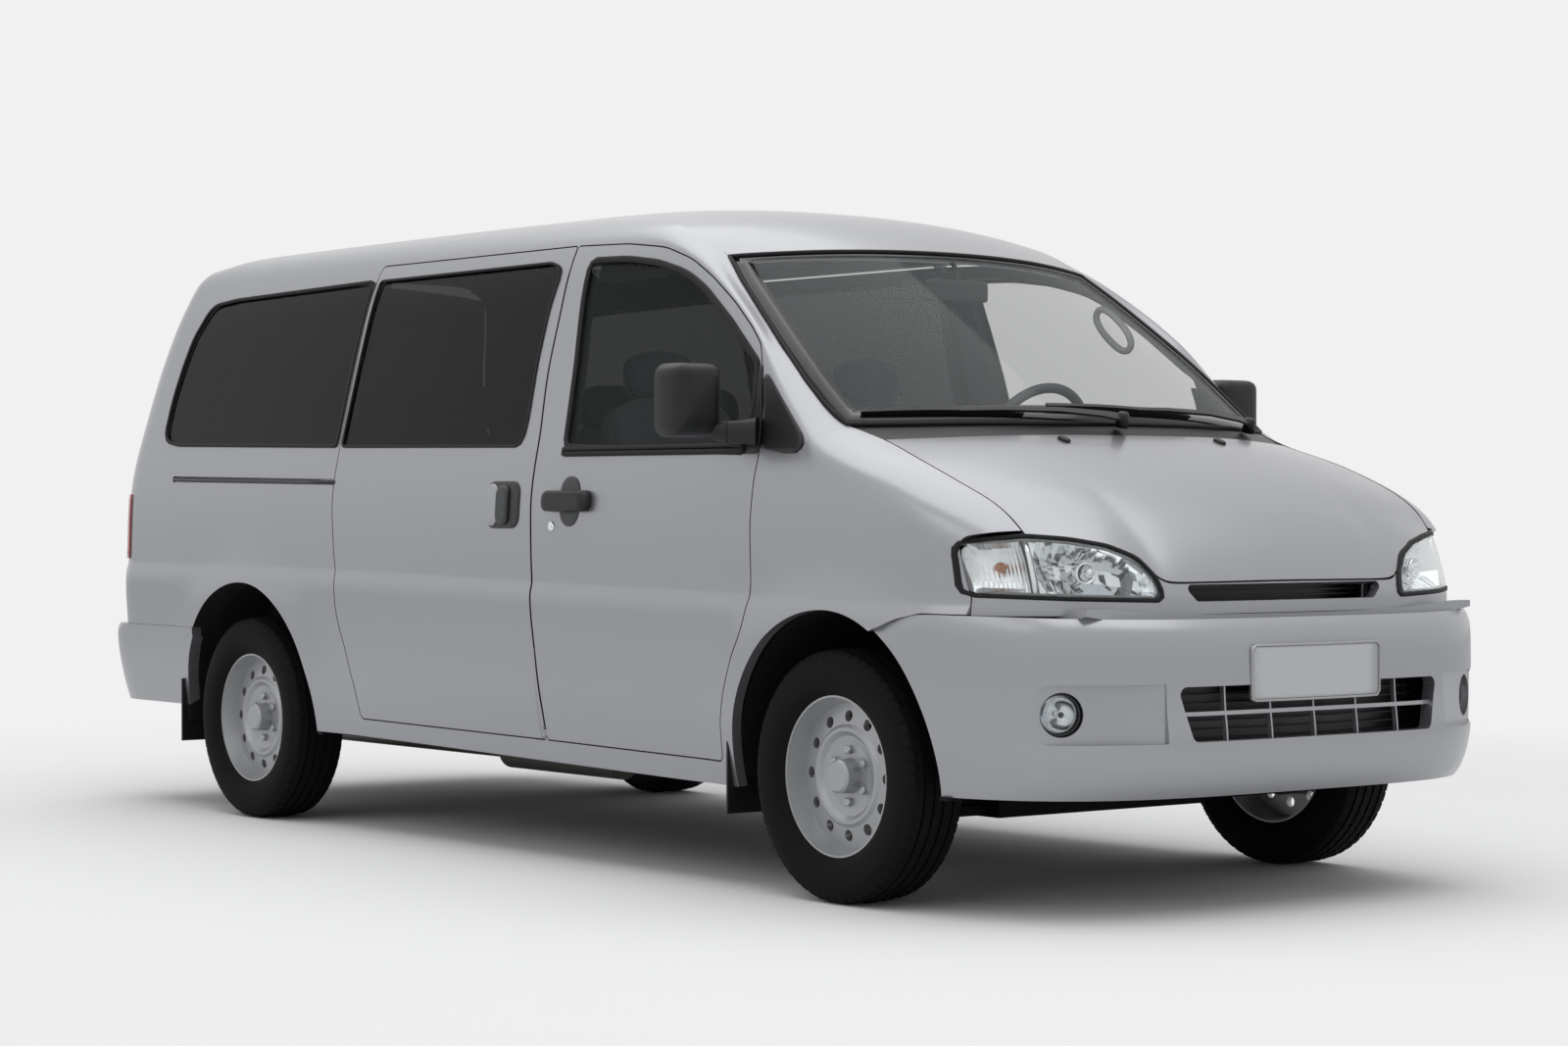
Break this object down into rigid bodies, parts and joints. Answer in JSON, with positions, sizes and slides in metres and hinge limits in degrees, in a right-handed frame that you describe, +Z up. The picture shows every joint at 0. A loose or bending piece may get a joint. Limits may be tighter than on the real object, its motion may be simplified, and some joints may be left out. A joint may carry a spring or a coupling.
{
  "type": "minivan",
  "caption": "Long silver minivan with sloping nose, two hinged front doors, two sliding side doors, tinted rear windows, lift-up tailgate and steel wheels",
  "frame": {"origin": "bottom centre of the box round the whole vehicle, on the ground where the tyres stand", "axes": "+X forward along the length, +Y to the vehicle's left, +Z up"},
  "size_m": [5.03, 2.18, 1.9308],
  "materials": {
    "body_paint": "satin_metallic",
    "floor_paint": "matte",
    "window_glass": "polished",
    "black_trim": "matte",
    "lamp_clear": "polished",
    "lamp_red": "gloss",
    "cabin_plastic": "matte",
    "seat_cloth": "woven",
    "engine_metal": "cast",
    "chassis_black": "satin",
    "cast_metal": "rough",
    "exhaust_steel": "satin",
    "tyre": "matte",
    "wheel_silver": "satin_metallic"
  },
  "bodies": {
    "body": {"side_right": "body_paint", "side_left": "body_paint", "roof": "body_paint", "fender_right": "body_paint", "fender_left": "body_paint", "grille_panel": "body_paint", "bumper_front": "body_paint", "bumper_rear": "body_paint", "sliding_door_right": "body_paint", "sliding_door_left": "body_paint", "floor": "floor_paint", "windshield": "window_glass", "side_glass": "window_glass", "cowl": "black_trim", "wipers": "black_trim", "mud_flaps": "black_trim", "front_lamps": "lamp_clear", "tail_lamps": "lamp_red", "dashboard": "cabin_plastic", "front_seats": "seat_cloth", "rear_seats": "seat_cloth", "engine": "engine_metal", "rear_axle": "chassis_black", "front_suspension": "chassis_black", "fuel_tank": "chassis_black", "exhaust": "exhaust_steel"},
    "door_right": {"door_right": "body_paint", "door_glass_right": "window_glass", "mirror_right": "black_trim"},
    "door_left": {"door_left": "body_paint", "door_glass_left": "window_glass", "mirror_left": "black_trim"},
    "hood": {"hood": "body_paint"},
    "tailgate": {"tailgate": "body_paint", "tailgate_glass": "window_glass"},
    "knuckle_right": {"knuckle_right": "cast_metal"},
    "knuckle_left": {"knuckle_left": "cast_metal"},
    "steering_wheel": {"steering_wheel": "cabin_plastic"},
    "wheel_front_right": {"tyre_front_right": "tyre", "rim_front_right": "wheel_silver"},
    "wheel_front_left": {"tyre_front_left": "tyre", "rim_front_left": "wheel_silver"},
    "wheel_rear_right": {"tyre_rear_right": "tyre", "rim_rear_right": "wheel_silver"},
    "wheel_rear_left": {"tyre_rear_left": "tyre", "rim_rear_left": "wheel_silver"}
  },
  "joints": [
    {"name": "door_right_hinge", "type": "hinge", "parent": "body", "child": "door_right", "pos_m": [1.33, -0.912, 0.9], "axis": [0, 0, 1], "range_deg": [0, 65]},
    {"name": "door_left_hinge", "type": "hinge", "parent": "body", "child": "door_left", "pos_m": [1.33, 0.912, 0.9], "axis": [0, 0, -1], "range_deg": [0, 65]},
    {"name": "hood_hinge", "type": "hinge", "parent": "body", "child": "hood", "pos_m": [1.665, 0, 1.215], "axis": [0, -1, 0], "range_deg": [0, 50]},
    {"name": "tailgate_hinge", "type": "hinge", "parent": "body", "child": "tailgate", "pos_m": [-2.222, 0, 1.83], "axis": [0, 1, 0], "range_deg": [0, 85]},
    {"name": "steer_right", "type": "hinge", "parent": "body", "child": "knuckle_right", "pos_m": [1.6375, -0.72, 0.3295], "axis": [0, 0, 1], "range_deg": [-35, 35]},
    {"name": "steer_left", "type": "hinge", "parent": "body", "child": "knuckle_left", "pos_m": [1.6375, 0.72, 0.3295], "axis": [0, 0, 1], "range_deg": [-35, 35]},
    {"name": "steering_wheel_turn", "type": "hinge", "parent": "body", "child": "steering_wheel", "pos_m": [0.985, 0.4, 1.2], "axis": [0.9119, 0, -0.4104], "range_deg": [-525, 525]},
    {"name": "wheel_front_right_spin", "type": "hinge", "parent": "knuckle_right", "child": "wheel_front_right", "pos_m": [1.6375, -0.797, 0.3295], "axis": [0, 1, 0], "continuous": true},
    {"name": "wheel_front_left_spin", "type": "hinge", "parent": "knuckle_left", "child": "wheel_front_left", "pos_m": [1.6375, 0.797, 0.3295], "axis": [0, 1, 0], "continuous": true},
    {"name": "wheel_rear_right_spin", "type": "hinge", "parent": "body", "child": "wheel_rear_right", "pos_m": [-1.4425, -0.797, 0.3295], "axis": [0, 1, 0], "continuous": true},
    {"name": "wheel_rear_left_spin", "type": "hinge", "parent": "body", "child": "wheel_rear_left", "pos_m": [-1.4425, 0.797, 0.3295], "axis": [0, 1, 0], "continuous": true}
  ],
  "couplings": [
    {"joint": "steer_left", "follows": "steer_right", "ratio": 1},
    {"joint": "steering_wheel_turn", "follows": "steer_right", "ratio": 15}
  ]
}
